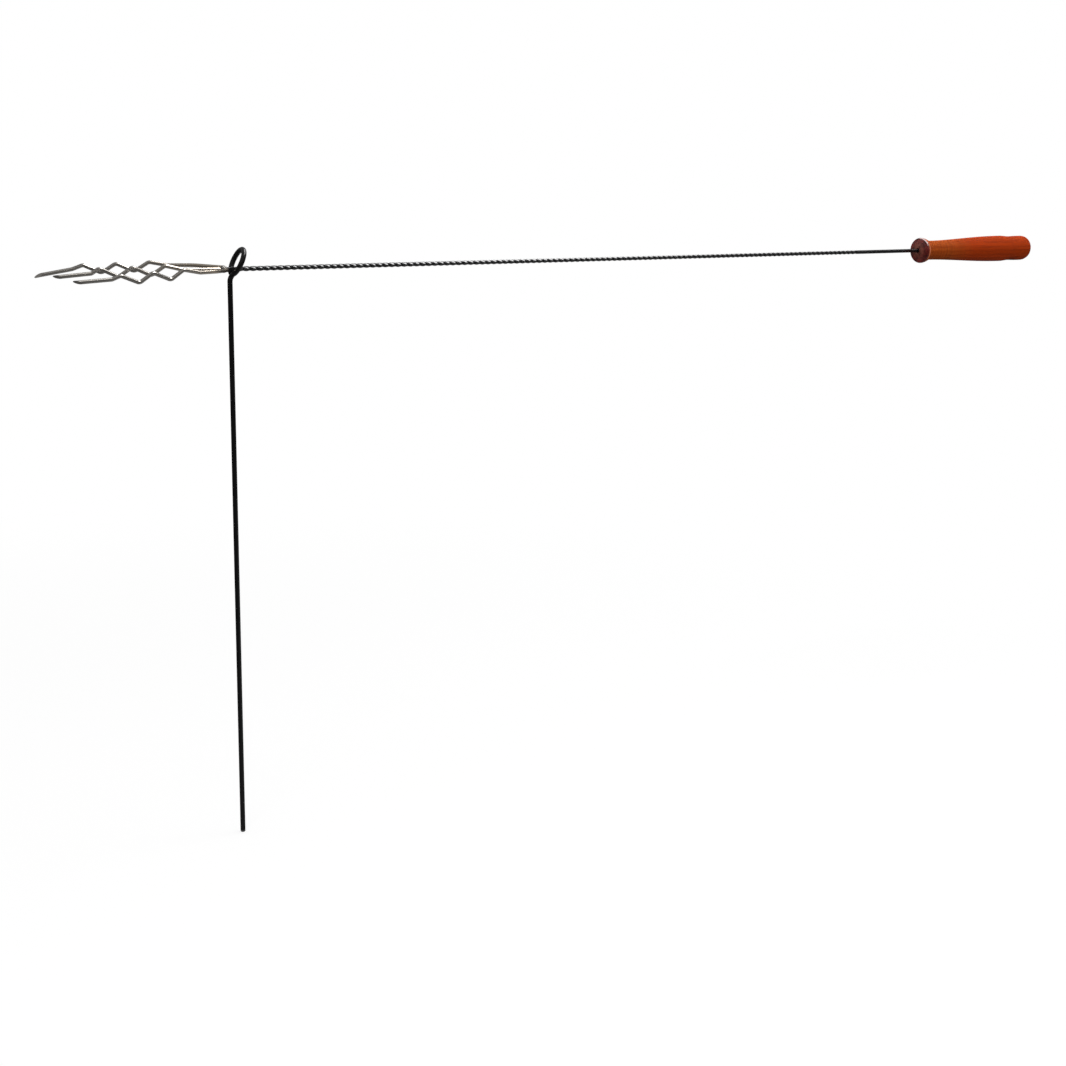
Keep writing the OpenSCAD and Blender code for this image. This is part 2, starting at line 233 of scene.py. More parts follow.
def makeRoom(s):
    # Half a globe: longitude and latitude on a grid, brighter with height
    paper, tree, place, strength = glowPaper("roomPaper")
    split = addNode(tree, "ShaderNodeSeparateXYZ")
    tree.links.new(place, split.inputs[0])
    low, high = (share * s["radius"] for share in s["toneRise"])
    tree.links.new(smoothStep(tree, split.outputs["Z"], low, high, s["lowTone"], s["highTone"]), strength)
    u, v = np.meshgrid(np.arange(48) / 48 * 2 * np.pi, np.linspace(0, 0.499 * np.pi, 16))
    points = s["radius"] * np.stack([np.cos(v) * np.cos(u), np.cos(v) * np.sin(u), np.sin(v)], -1)
    i, j = np.meshgrid(np.arange(15), np.arange(48), indexing="ij")
    faces = np.stack([i * 48 + j, i * 48 + (j + 1) % 48, (i + 1) * 48 + (j + 1) % 48, (i + 1) * 48 + j], -1)
    onlyReflected(stagePiece("reflectionRoom", points.reshape(-1, 3).tolist(), faces.reshape(-1, 4).tolist(), paper))

    paper, tree, place, strength = glowPaper("poolPaper")
    offset = addNode(tree, "ShaderNodeVectorMath", operation="DISTANCE")
    offset.inputs[1].default_value = s["poolPlace"] + (0.0,)
    tree.links.new(place, offset.inputs[0])
    near, far = s["poolReach"]
    tree.links.new(smoothStep(tree, offset.outputs["Value"], near, far, s["poolTone"], s["floorTone"]), strength)
    half = s["floorSize"] / 2
    onlyReflected(flatSheet("reflectionFloor", (-half, half), (-half, half), 0.002, paper))

    paper, tree, place, strength = glowPaper("gleamPaper")
    split = addNode(tree, "ShaderNodeSeparateXYZ")
    tree.links.new(place, split.inputs[0])

    def between(axis, limits):
        start, full, fade, end = limits
        return times(smoothStep(tree, split.outputs[axis], start, full),
                     smoothStep(tree, split.outputs[axis], fade, end, 1.0, 0.0))

    def times(first, second):
        both = addNode(tree, "ShaderNodeMath", operation="MULTIPLY")
        for socket, value in zip(both.inputs, (first, second)):
            if isinstance(value, bpy.types.NodeSocket):
                tree.links.new(value, socket)
            else:
                socket.default_value = value
        return both.outputs[0]

    grid = addNode(tree, "ShaderNodeLayerWeight", Blend=0.5)
    core = times(times(times(between("X", s["coreX"]), between("Y", s["coreY"])), s["coreTone"]),
                 smoothStep(tree, grid.outputs["Facing"], *s["coreFacing"], 1.0, 0.0))
    tones = addNode(tree, "ShaderNodeMath", operation="ADD")
    tree.links.new(core, tones.inputs[0])
    tree.links.new(times(times(between("X", s["gleamX"]), between("Y", s["gleamY"])), s["gleamTone"]), tones.inputs[1])
    final = addNode(tree, "ShaderNodeMath", operation="ADD")
    final.inputs[1].default_value = s["highTone"]
    tree.links.new(tones.outputs[0], final.inputs[0])
    tree.links.new(final.outputs[0], strength)
    onlyReflected(flatSheet("reflectionGleam", s["gleamX"][::3], s["coreY"][::3], s["gleamHeight"], paper))

    # The strip light lets through what is above it where it fades out
    paper, tree, place, strength = glowPaper("stripPaper")
    strength.default_value = s["stripTone"]
    split = addNode(tree, "ShaderNodeSeparateXYZ")
    tree.links.new(place, split.inputs[0])
    glow, out = strength.node, tree.nodes["Material Output"]
    veil = addNode(tree, "ShaderNodeMixShader")
    clear = addNode(tree, "ShaderNodeBsdfTransparent")
    grid = addNode(tree, "ShaderNodeLayerWeight", Blend=0.5)
    tree.links.new(times(times(between("X", s["stripX"]), between("Y", s["stripY"])),
                         smoothStep(tree, grid.outputs["Facing"], *s["stripFacing"], 1.0, 0.0)), veil.inputs["Fac"])
    tree.links.new(clear.outputs[0], veil.inputs[1])
    tree.links.new(glow.outputs[0], veil.inputs[2])
    tree.links.new(veil.outputs[0], out.inputs["Surface"])
    onlyReflected(flatSheet("reflectionStrip", s["stripX"][::3], s["stripY"][::3], s["stripHeight"], paper))


def softbox(name, place, size, power, aim):
    lamp = bpy.data.lights.new(name, "AREA")
    lamp.shape = "RECTANGLE"
    lamp.size, lamp.size_y = size
    lamp.energy = power
    box = bpy.data.objects.new(name, lamp)
    box.location = place
    box.rotation_mode = "QUATERNION"
    box.rotation_quaternion = (Vector(aim) - Vector(place)).to_track_quat("-Z", "Y")
    box.visible_glossy = False
    bpy.context.collection.objects.link(box)


makeCamera(cameraView)
makeSky(studio)
floorReach = (-studio["floorSize"] / 2, studio["floorSize"] / 2)
flatSheet("floor", floorReach, floorReach, -0.0003, makeFloorPaper(studio))
makeRoom(room)
softbox("keyLight", studio["keyPlace"], studio["keySize"], studio["keyPower"], (1.0, 0.0, barAxisZ))
softbox("fillLight", studio["fillPlace"], studio["fillSize"], studio["fillPower"], (0.3, 0.0, barAxisZ))
print("camera and studio ready")


# Paths, surfaces and meshes

def unit(v):
    return v / np.linalg.norm(v, axis=-1, keepdims=True)


def straightRun(a, b, step):
    # Points spaced evenly from a to b, with the same heading at each
    a, b = np.asarray(a, float), np.asarray(b, float)
    t = np.linspace(0, 1, max(2, int(np.ceil(np.linalg.norm(b - a) / step)) + 1))[:, None]
    return a + t * (b - a), np.repeat(unit(b - a)[None], len(t), 0)


def arcRun(centre, out, start, radius, sweep, step):
    # Circle arc: centre + radius (cos t out + sin t start), with its tangent as the heading
    t = np.linspace(0, sweep, max(4, int(np.ceil(radius * abs(sweep) / step)) + 1))[:, None]
    return centre + radius * (np.cos(t) * out + np.sin(t) * start), np.cos(t) * start - np.sin(t) * out


def joinRuns(runs):
    # Runs follow one another, each without its last point but the last
    points = np.concatenate([r[0][:-1] for r in runs[:-1]] + [runs[-1][0]])
    headings = np.concatenate([r[1][:-1] for r in runs[:-1]] + [runs[-1][1]])
    return points, headings


def bentRuns(corners, radii, step):
    # Straight runs between the corners, and an arc of its radius round each inner corner
    runs, begin = [], corners[0]
    for a, b, c, radius in zip(corners, corners[1:], corners[2:], radii):
        before, after = unit(b - a), unit(c - b)
        turn = math.acos(np.clip(before @ after, -1, 1))
        trim = radius * math.tan(turn / 2)
        centre = b + radius / math.cos(turn / 2) * unit(after - before)
        runs.append(straightRun(begin, b - trim * before, 4 * step))
        runs.append(arcRun(centre, unit(b - trim * before - centre), before, radius, turn, step))
        begin = b + trim * after
    runs.append(straightRun(begin, corners[-1], 4 * step))
    return runs


def ringFrames(headings, guide):
    # Two directions across the path: one square to the guide, the other square to both
    side = unit(np.cross(guide, headings))
    return side, np.cross(headings, side)


def tubeGrid(points, headings, guide, radius, sides):
    # Ring point = path point + radius (cos a side + sin a over)
    side, over = ringFrames(headings, guide)
    a = np.arange(sides) / sides * 2 * np.pi
    radius = np.broadcast_to(np.asarray(radius, float), (len(points),))[:, None, None]
    round_ = np.cos(a)[None, :, None] * side[:, None] + np.sin(a)[None, :, None] * over[:, None]
    return points[:, None] + radius * round_


def pathLength(points):
    return np.concatenate([[0], np.cumsum(np.linalg.norm(np.diff(points, axis=0), axis=1))])


def closedMesh(name, grid, along, sharpAngle, attributes=None):
    # Rings by sides, wrapped round and closed at both ends by a fan; u runs round each ring, v along in metres
    rings, sides, _ = grid.shape
    points = np.concatenate([grid.reshape(-1, 3), grid[:1].mean(1), grid[-1:].mean(1)])
    r, s = np.meshgrid(np.arange(rings - 1), np.arange(sides), indexing="ij")
    nextSide = (s + 1) % sides
    quads = np.stack([r * sides + s, r * sides + nextSide, (r + 1) * sides + nextSide, (r + 1) * sides + s], -1)
    quadU = np.stack([s, s + 1, s + 1, s], -1) / sides
    quadV = np.stack([along[r], along[r], along[r + 1], along[r + 1]], -1)
    s = np.arange(sides)
    nextSide = (s + 1) % sides
    last = (rings - 1) * sides
    startFan = np.stack([np.full(sides, rings * sides), nextSide, s], -1)
    endFan = np.stack([np.full(sides, rings * sides + 1), last + s, last + nextSide], -1)
    fanU = np.stack([s + 0.5, s + 1, s], -1) / sides
    corners = np.concatenate([quads.ravel(), startFan.ravel(), endFan.ravel()])
    us = np.concatenate([quadU.ravel(), fanU.ravel(), fanU[:, [0, 2, 1]].ravel()])
    vs = np.concatenate([quadV.ravel(), np.full(3 * sides, along[0]), np.full(3 * sides, along[-1])])
    starts = np.concatenate([np.arange(quads.size // 4) * 4, quads.size + np.arange(2 * sides) * 3])
    mesh = bpy.data.meshes.new(name)
    mesh.vertices.add(len(points))
    mesh.vertices.foreach_set("co", points.ravel())
    mesh.loops.add(len(corners))
    mesh.loops.foreach_set("vertex_index", corners.astype(np.int32))
    mesh.polygons.add(len(starts))
    mesh.polygons.foreach_set("loop_start", starts.astype(np.int32))
    uvLayer = mesh.uv_layers.new(name="UVMap")
    uvLayer.data.foreach_set("uv", np.stack([us, vs], -1).ravel())
    for attribute, values in (attributes or {}).items():
        ends = [values[0].mean(), values[-1].mean()]
        stored = mesh.attributes.new(attribute, "FLOAT", "POINT")
        stored.data.foreach_set("value", np.concatenate([values.ravel(), ends]).astype(np.float32))
    mesh.update(calc_edges=True)
    mesh.validate()
    mesh.shade_smooth()
    mesh.set_sharp_from_angle(angle=math.radians(sharpAngle))
    piece = bpy.data.objects.new(name, mesh)
    bpy.context.collection.objects.link(piece)
    return piece


def dress(piece, body, node, material):
    piece.data.materials.append(material)
    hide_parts(node)
    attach(piece, body)
    print(piece.name, "stands for", node, "with", len(piece.data.vertices), "points")


# Shared shader effects

def newGroup(name, inputs, outputs):
    group = bpy.data.node_groups.new(name, "ShaderNodeTree")
    for label, kind, value in inputs:
        socket = group.interface.new_socket(name=label, in_out="INPUT", socket_type=kind)
        socket.default_value = value
    for label, kind in outputs:
        group.interface.new_socket(name=label, in_out="OUTPUT", socket_type=kind)
    return group, group.nodes.new("NodeGroupInput"), group.nodes.new("NodeGroupOutput")


def link(tree, source, target):
    tree.links.new(source, target)


def mixColour(tree, factor, first, second, blend="MIX"):
    mixer = addNode(tree, "ShaderNodeMix", data_type="RGBA", blend_type=blend)
    for socket, value in ((mixer.inputs[0], factor), (mixer.inputs[6], first), (mixer.inputs[7], second)):
        if isinstance(value, bpy.types.NodeSocket):
            link(tree, value, socket)
        else:
            socket.default_value = value
    return mixer.outputs[2]


def calculate(tree, operation, first, second=None, clamp=False):
    step = addNode(tree, "ShaderNodeMath", operation=operation, use_clamp=clamp)
    for socket, value in zip(step.inputs, (first, second)):
        if isinstance(value, bpy.types.NodeSocket):
            link(tree, value, socket)
        elif value is not None:
            socket.default_value = value
    return step.outputs[0]


def remap(tree, value, low, high, toLow=0.0, toHigh=1.0):
    span = addNode(tree, "ShaderNodeMapRange")
    link(tree, value, span.inputs["Value"])
    for label, number in (("From Min", low), ("From Max", high), ("To Min", toLow), ("To Max", toHigh)):
        span.inputs[label].default_value = number
    return span.outputs["Result"]


def noiseOn(tree, vector, scale, detail=3.0, roughness=0.5):
    noise = addNode(tree, "ShaderNodeTexNoise")
    link(tree, vector, noise.inputs["Vector"])
    for label, value in (("Scale", scale), ("Detail", detail), ("Roughness", roughness)):
        if isinstance(value, bpy.types.NodeSocket):
            link(tree, value, noise.inputs[label])
        else:
            noise.inputs[label].default_value = value
    return noise.outputs["Fac"]


def stretched(tree, vector, scale):
    mapping = addNode(tree, "ShaderNodeMapping")
    mapping.inputs["Scale"].default_value = scale
    link(tree, vector, mapping.inputs["Vector"])
    return mapping.outputs["Vector"]


def makePaintGroup():
    # Paint on steel: colour = paint, a little uneven, giving way to steel where wear beats a fine noise;
    # height = orange peel plus the step down at worn places
    group, given, wanted = newGroup(
        "paintOnSteel",
        [("Paint", "NodeSocketColor", (0.01, 0.01, 0.01, 1)), ("Steel", "NodeSocketColor", (0.2, 0.19, 0.18, 1)),
         ("Wear", "NodeSocketFloat", 0.0), ("Gloss", "NodeSocketFloat", 0.25), ("Peel Scale", "NodeSocketFloat", 900.0)],
        [("Colour", "NodeSocketColor"), ("Roughness", "NodeSocketFloat"), ("Metal", "NodeSocketFloat"),
         ("Height", "NodeSocketFloat")])
    place = addNode(group, "ShaderNodeTexCoord").outputs["Object"]
    broad = noiseOn(group, place, 60.0)
    fine = noiseOn(group, place, 1400.0, 4.0, 0.65)
    peel = noiseOn(group, place, given.outputs["Peel Scale"], 2.0)
    edge = calculate(group, "SUBTRACT", given.outputs["Wear"], fine)
    worn = remap(group, edge, -0.04, 0.08)
    uneven = remap(group, broad, 0.3, 0.7, 0.75, 1.3)
    tinted = mixColour(group, 1.0, given.outputs["Paint"], uneven, "MULTIPLY")
    link(group, mixColour(group, worn, tinted, given.outputs["Steel"]), wanted.inputs["Colour"])
    rough = calculate(group, "ADD", given.outputs["Gloss"], remap(group, fine, 0.35, 0.75, -0.04, 0.08))
    link(group, calculate(group, "ADD", rough, calculate(group, "MULTIPLY", worn, 0.15)), wanted.inputs["Roughness"])
    link(group, calculate(group, "MULTIPLY", worn, 0.8), wanted.inputs["Metal"])
    link(group, calculate(group, "SUBTRACT", peel, worn), wanted.inputs["Height"])
    return group


def makeDrawnGroup():
    # Drawn wire: streaks along v of the UV map, fine pits, and a warm tint where the mask is high: the welding tint,
    # and on the tines also a painted warm reflection, paler than the steel
    group, given, wanted = newGroup(
        "drawnMetal",
        [("Metal Colour", "NodeSocketColor", (0.6, 0.6, 0.6, 1)), ("Heat Colour", "NodeSocketColor", (0.6, 0.45, 0.3, 1)),
         ("Heat", "NodeSocketFloat", 0.0), ("Dullness", "NodeSocketFloat", 0.2)],
        [("Colour", "NodeSocketColor"), ("Roughness", "NodeSocketFloat"), ("Height", "NodeSocketFloat")])
    coords = addNode(group, "ShaderNodeTexCoord")
    streaks = noiseOn(group, stretched(group, coords.outputs["UV"], (26.0, 60.0, 1.0)), 1.0, 4.0, 0.6)
    pits = noiseOn(group, coords.outputs["Object"], 1800.0, 3.0, 0.7)
    clouds = noiseOn(group, coords.outputs["Object"], 45.0)
    shade = remap(group, streaks, 0.3, 0.7, 0.72, 1.12)
    streaked = mixColour(group, 1.0, given.outputs["Metal Colour"], shade, "MULTIPLY")
    warm = calculate(group, "MULTIPLY", given.outputs["Heat"], remap(group, clouds, 0.3, 0.7, 0.4, 1.0), True)
    link(group, mixColour(group, warm, streaked, given.outputs["Heat Colour"]), wanted.inputs["Colour"])
    dull = calculate(group, "ADD", given.outputs["Dullness"], remap(group, pits, 0.4, 0.8, -0.03, 0.14))
    link(group, calculate(group, "ADD", dull, calculate(group, "MULTIPLY", warm, 0.08)), wanted.inputs["Roughness"])
    link(group, calculate(group, "ADD", streaks, calculate(group, "MULTIPLY", pits, 0.5)), wanted.inputs["Height"])
    return group


paintGroup = makePaintGroup()
drawnGroup = makeDrawnGroup()


def newMaterial(name):
    material = bpy.data.materials.new(name)
    material.use_nodes = True
    return material, material.node_tree, material.node_tree.nodes["Principled BSDF"]


def addBump(tree, shader, height, strength, depth):
    bump = addNode(tree, "ShaderNodeBump")
    bump.inputs["Strength"].default_value = strength
    bump.inputs["Distance"].default_value = depth
    link(tree, height, bump.inputs["Height"])
    link(tree, bump.outputs["Normal"], shader.inputs["Normal"])


def useGroup(tree, group, **values):
    placed = tree.nodes.new("ShaderNodeGroup")
    placed.node_tree = group
    for label, value in values.items():
        socket = placed.inputs[label.replace("_", " ")]
        if isinstance(value, bpy.types.NodeSocket):
            link(tree, value, socket)
        else:
            socket.default_value = value
    return placed


def attributeOf(tree, name):
    return addNode(tree, "ShaderNodeAttribute", attribute_name=name).outputs["Fac"]


def paintedSteel(name, paint, gloss, wearMask, wearShare, peelScale, peelStrength):
    material, tree, shader = newMaterial(name)
    wear = calculate(tree, "MULTIPLY", attributeOf(tree, wearMask), wearShare)
    skin = useGroup(tree, paintGroup, Paint=paint, Wear=wear, Gloss=gloss, Peel_Scale=peelScale)
    link(tree, skin.outputs["Colour"], shader.inputs["Base Color"])
    link(tree, skin.outputs["Roughness"], shader.inputs["Roughness"])
    link(tree, skin.outputs["Metal"], shader.inputs["Metallic"])
    addBump(tree, shader, skin.outputs["Height"], peelStrength, 0.0001)
    return material


def drawnSteel(name, colour, tintAndSheenColour, dullness, tintAndSheenMask, bumpStrength):
    material, tree, shader = newMaterial(name)
    shader.inputs["Metallic"].default_value = 1.0
    skin = useGroup(tree, drawnGroup, Metal_Colour=colour, Heat_Colour=tintAndSheenColour, Dullness=dullness,
                    Heat=attributeOf(tree, tintAndSheenMask))
    link(tree, skin.outputs["Colour"], shader.inputs["Base Color"])
    link(tree, skin.outputs["Roughness"], shader.inputs["Roughness"])
    addBump(tree, shader, skin.outputs["Height"], bumpStrength, 0.00008)
    return material


# Ground stake

stake = {
    "rod": 0.0048,
    "shank": 0.5374,
    "bevel": 0.0006,
    "eyeInside": 0.0198,
    "lean": 24.5,             # degrees towards the handle
    "turn": 8.0,
    "leanRadius": 0.0085,
    "neckRadius": 0.0042,
    "endGap": 0.0005,
    "sides": 40,
    "step": 0.0006,
}


def stakePath(s):
    # Straight shank, a bend that leans the eye, a bend that carries the ring over the shank, and the ring
    lean, turn = math.radians(s["lean"]), math.radians(s["turn"])
    leanWay = np.array([math.cos(turn), -math.sin(turn), 0])
    eyeUp = math.sin(lean) * leanWay + math.cos(lean) * upWay
    eyeSide = np.array([-math.sin(turn), -math.cos(turn), 0])
    ring, neck, bend = (s["eyeInside"] + s["rod"]) / 2, s["neckRadius"], s["leanRadius"]
    shankTop = s["shank"] * upWay
    neckFoot = shankTop + bend * (1 - math.cos(lean)) * leanWay + bend * math.sin(lean) * upWay
    neckTurn = math.acos(neck / (ring + neck))
    eyeCentre = neckFoot + math.sqrt(ring * ring + 2 * ring * neck) * eyeUp
    reach = neck + s["rod"] + s["endGap"]
    endAngle = neckTurn + math.asin((reach ** 2 - ring ** 2 - (ring + neck) ** 2) / (2 * ring * (ring + neck)))
    ringSweep = 1.5 * math.pi + neckTurn - endAngle
    begin = math.pi / 2 - neckTurn
    runs = [
        straightRun((0, 0, 0), shankTop, 0.004),
        arcRun(shankTop + bend * leanWay, -leanWay, upWay, bend, lean, s["step"]),
        arcRun(neckFoot + neck * eyeSide, -eyeSide, eyeUp, neck, neckTurn, s["step"]),
        arcRun(eyeCentre, math.sin(begin) * eyeSide - math.cos(begin) * eyeUp,
               math.cos(begin) * eyeSide + math.sin(begin) * eyeUp, ring, ringSweep, s["step"]),
    ]
    return joinRuns(runs), np.cross(eyeSide, eyeUp), eyeCentre


def makeStake(s):
    (points, headings), guide, eyeCentre = stakePath(s)
    radius = np.full(len(points), s["rod"] / 2)
    # The foot's bevel and the ring's cut end: short tapers made by moving the end rings
    foot, tip = s["bevel"], 0.5 * s["bevel"]
    points = np.concatenate([points[:1], points[:1] + foot * headings[:1], points[1:-1],
                             points[-1:] - tip * headings[-1:], points[-1:]])
    headings = np.concatenate([headings[:1], headings[:-1], headings[-1:], headings[-1:]])
    radius = np.concatenate([radius[:1] - foot, radius[:1], radius[1:-1], radius[-1:], radius[-1:] - tip])
    grid = tubeGrid(points, headings, guide, radius, s["sides"])
    # Wear where the bar slides: inside the eye's lowest part, facing its centre
    barPoint = np.array([eyeCentre[0], 0, barAxisZ])
    rub = np.exp(-((np.linalg.norm(grid[:, :, 1:] - barPoint[1:], axis=-1) - 0.0026) / 0.0012) ** 2)
    rub *= np.abs(grid[:, :, 0] - eyeCentre[0]) < 0.012
    return closedMesh("stakeRod", grid, pathLength(points), 50, {"rub": rub})


stakeBlack = paintedSteel("stakeBlack", (0.0028, 0.0028, 0.003, 1), 0.2, "rub", 0.55, 700.0, 0.12)
dress(makeStake(stake), "stake", "ground_stake", stakeBlack)


# Twisted bar

bar = {
    "side": 0.0036,
    "cornerRound": 0.0006,
    "quarterPitch": 0.00715,
    "quarterTurns": 114,
    "rearTurn": 16.0,         # degrees that the twist goes on past its last quarter turn
    "frontPlain": 0.006,
    "stub": 0.005,            # from the bar's front end to the tines' root
    "ringsPerQuarter": 14,
    "cornerPoints": 7,
    "flatPoints": 3,
    "ease": 0.003,            # the twist starts and stops over this length
}


def roundedSquare(s):
    # Outline of the bar: four corner arcs, with a few points along each flat; and how near each point is to a corner
    half, c = s["side"] / 2, s["cornerRound"]
    t = np.linspace(0, np.pi / 2, s["cornerPoints"])
    arc = np.stack([half - c + c * np.cos(t), half - c + c * np.sin(t)], -1)
    flat = np.stack([np.linspace(half - c, c - half, s["flatPoints"] + 2)[1:-1], np.full(s["flatPoints"], half)], -1)
    quarter = np.concatenate([arc, flat])
    turns = np.arange(4) * np.pi / 2
    spin = np.stack([np.stack([np.cos(turns), -np.sin(turns)], -1), np.stack([np.sin(turns), np.cos(turns)], -1)], 1)
    outline = np.einsum("kij,pj->kpi", spin, quarter).reshape(-1, 2)
    reach = np.linalg.norm(outline, axis=1)
    return outline, (reach - half) / (reach.max() - half)


def twistQuarters(s):
    return s["quarterTurns"] + s["rearTurn"] / 90


def twistAngle(x, start, s):
    # Right-handed turn: it grows evenly along the twisted stretch, and eases in and out at its ends
    length = twistQuarters(s) * s["quarterPitch"]
    d = np.clip(x - start, 0, length)
    soft = s["ease"]
    into = np.where(d < soft, d * d / (2 * soft), d - soft / 2)
    rest = length - d
    out = np.where(rest < soft, (soft - rest) ** 2 / (2 * soft), 0)
    share = (into - out) / (length - soft)
    return share * twistQuarters(s) * np.pi / 2


def makeBar(s):
    outline, corner = roundedSquare(s)
    front = barLow.x
    twistStart = front + s["stub"] + s["frontPlain"]
    quarters = twistQuarters(s)
    rings = math.ceil(quarters * s["ringsPerQuarter"])
    twistX = twistStart + np.linspace(0, quarters * s["quarterPitch"], rings + 1)
    x = np.concatenate([[front, front + 0.0002], twistX, [barHigh.x - 0.0002, barHigh.x]])
    size = np.ones(len(x))
    size[[0, -1]] = 0.88
    a = twistAngle(x, twistStart, s)[:, None]
    y = outline[:, 0] * np.cos(a) - outline[:, 1] * np.sin(a)
    z = outline[:, 0] * np.sin(a) + outline[:, 1] * np.cos(a)
    grid = np.stack([np.broadcast_to(x[:, None], y.shape), y * size[:, None], barAxisZ + z * size[:, None]], -1)
    twisted = (x > twistStart) & (x < twistStart + quarters * s["quarterPitch"])
    cornerMap = corner * np.where(twisted, 1.0, 0.5)[:, None]
    return closedMesh("twistedBar", grid, x - front, 50, {"corner": cornerMap})


barBlack = paintedSteel("barBlack", (0.005, 0.005, 0.006, 1), 0.22, "corner", 0.42, 1100.0, 0.3)
barBlack.node_tree.nodes["Principled BSDF"].inputs["Specular IOR Level"].default_value = 0.75
dress(makeBar(bar), "fork", "twisted_shaft", barBlack)


# Tines

tines = {
    "wire": 0.0035,
    "weldLength": 0.010,
    "weldGap": 0.00015,
    "rootStep": 0.003,
    "rootSplay": 48.0,        # degrees between the bar and the outer wires
    "rootLifts": {-1: -0.0007, 0: 0.0, 1: 0.0015},
    "elbowHalf": 0.0255,
    "elbowRadius": 0.025,
    "firstLow": 0.0436,
    "shoulderHalf": 0.0335,
    "shoulderRise": 0.0009,
    "shoulderRadius": 0.012,
    "lowHeight": 0.0005,
    "waves": 3,
    "riseLengths": {-1: 0.0176, 0: 0.0176, 1: 0.0166},
    "dropLength": 0.0132,
    "firstTop": 0.0045,
    "waveHeight": 0.0082,
    "waveFalls": {-1: 0.0015, 0: 0.0004, 1: 0.0009},
    "waveRadius": 0.0045,
    "shifts": {-1: 0.0, 0: 0.0012, 1: 0.0014},
    "lifts": {-1: -0.0014, 0: 0.0, 1: 0.0014},
    "pointStart": 0.0082,
    "pointLength": 0.0344,
    "pointHeights": {-1: -0.0029, 0: -0.0006, 1: 0.0006},
    "tipHeights": {-1: -0.0047, 0: -0.0031, 1: -0.0048},
    "tipHalf": 0.0464,
    "slant": 25.0,
    "cutTurns": {-1: 45.0, 0: 40.0, 1: -55.0},
    "sides": 32,
    "step": 0.0005,
    "tintAndSheenReach": 0.05,
}


def tineCorners(side, s):
    # Corners of one tine's wire, from its root to its tip, and the radius of each bend: side is -1 near, 0 centre,
    # 1 far. Lows and tops take turns, and the outer wires ease apart towards their tips
    rootX = barLow.x + s["weldLength"] / 2
    rise, drop = s["riseLengths"][side], s["dropLength"]
    k = np.arange(2 * s["waves"])
    waveAt = s["firstLow"] + s["shifts"][side] + k // 2 * (rise + drop) + k % 2 * rise
    waveUp = s["firstTop"] + s["lifts"][side] - (k - 1) // 2 * s["waveFalls"][side] - (k % 2 == 0) * s["waveHeight"]
    waveUp[0] = s["lowHeight"] + s["lifts"][side] + abs(side) * s["shoulderRise"]
    wavesEnd = s["firstLow"] + s["waves"] * (s["riseLengths"][0] + drop) - drop
    pointAt = wavesEnd + s["pointStart"]
    tipAt = pointAt + s["pointLength"]
    along = np.concatenate([waveAt, [pointAt, tipAt]])
    up = np.concatenate([waveUp, [s["pointHeights"][side], s["tipHeights"][side]]])
    eased = 1 - (1 - (along - s["firstLow"]) / (tipAt - s["firstLow"])) ** 2
    out = side * (s["shoulderHalf"] + (s["tipHalf"] - s["shoulderHalf"]) * eased)
    corners = np.stack([rootX - along, out, barAxisZ + up], -1)
    if side == 0:
        root = [[barLow.x, 0, barAxisZ + s["rootLifts"][0]]]
        return np.concatenate([root, corners]), [s["waveRadius"]] * (len(corners) - 1)
    splay = math.radians(s["rootSplay"])
    rootHalf = bar["side"] / 2 + s["weldGap"] + s["wire"] / 2 * math.cos(splay)
    elbowAt = s["rootStep"] + (s["elbowHalf"] - rootHalf) / math.tan(splay)
    root = [[rootX - s["rootStep"], side * rootHalf, barAxisZ + s["rootLifts"][side]],
            [rootX - elbowAt, side * s["elbowHalf"], barAxisZ + waveUp[0]]]
    bends = [s["elbowRadius"], s["shoulderRadius"]] + [s["waveRadius"]] * (len(corners) - 2)
    return np.concatenate([root, corners]), bends


def makeTine(name, side, s):
    corners, radii = tineCorners(side, s)
    runs = bentRuns(corners, radii, s["step"])
    points, headings = joinRuns(runs)
    grid = tubeGrid(points, headings, upWay, s["wire"] / 2, s["sides"])
    # Oblique cut: each line of the last straight run is shortened, most on the side that the cut faces
    lastRun = len(runs[-1][0])
    a = np.arange(s["sides"]) / s["sides"] * 2 * np.pi
    turned = np.cos(a + math.radians(s["cutTurns"][side]))
    short = s["wire"] / 2 * (1 + turned) / math.tan(math.radians(s["slant"]))
    t = np.linspace(0, 1, lastRun)[:, None]
    grid[-lastRun:] -= (t * short)[:, :, None] * headings[-1]
    # The cut's rim is broken by a small bevel
    rim, middle = grid[-1], grid[-1].mean(0)
    grid[-1] = rim - 0.00012 * headings[-1]
    face = middle + 0.9 * (rim - middle)
    grid = np.concatenate([grid, face[None]])
    along = np.append(pathLength(points), pathLength(points)[-1] + 0.0003)
    # A warm, paler tint fading from the root: the welding tint together with a painted warm reflection
    tintShare = np.exp(-(along / s["tintAndSheenReach"]) ** 2)[:, None] * np.ones(s["sides"])
    return closedMesh(name, grid, along, 35, {"warmTintAndSheen": tintShare})


# The second colour, paler and warmer than the steel, is the painted warm reflection near the root
tineSteel = drawnSteel("tineSteel", (0.60, 0.568, 0.525, 1), (0.86, 0.70, 0.53, 1), 0.18, "warmTintAndSheen", 0.15)
for name, side, node in (("nearTine", -1, "near_tine"), ("centreTine", 0, "centre_tine"), ("farTine", 1, "far_tine")):
    dress(makeTine(name, side, tines), "fork", node, tineSteel)


# Root weld

weld = {
    "radius": 0.0033,
    "sides": 64,
    "rings": 90,
    "ripples": 9,
    "rippleDepth": 0.00005,
}


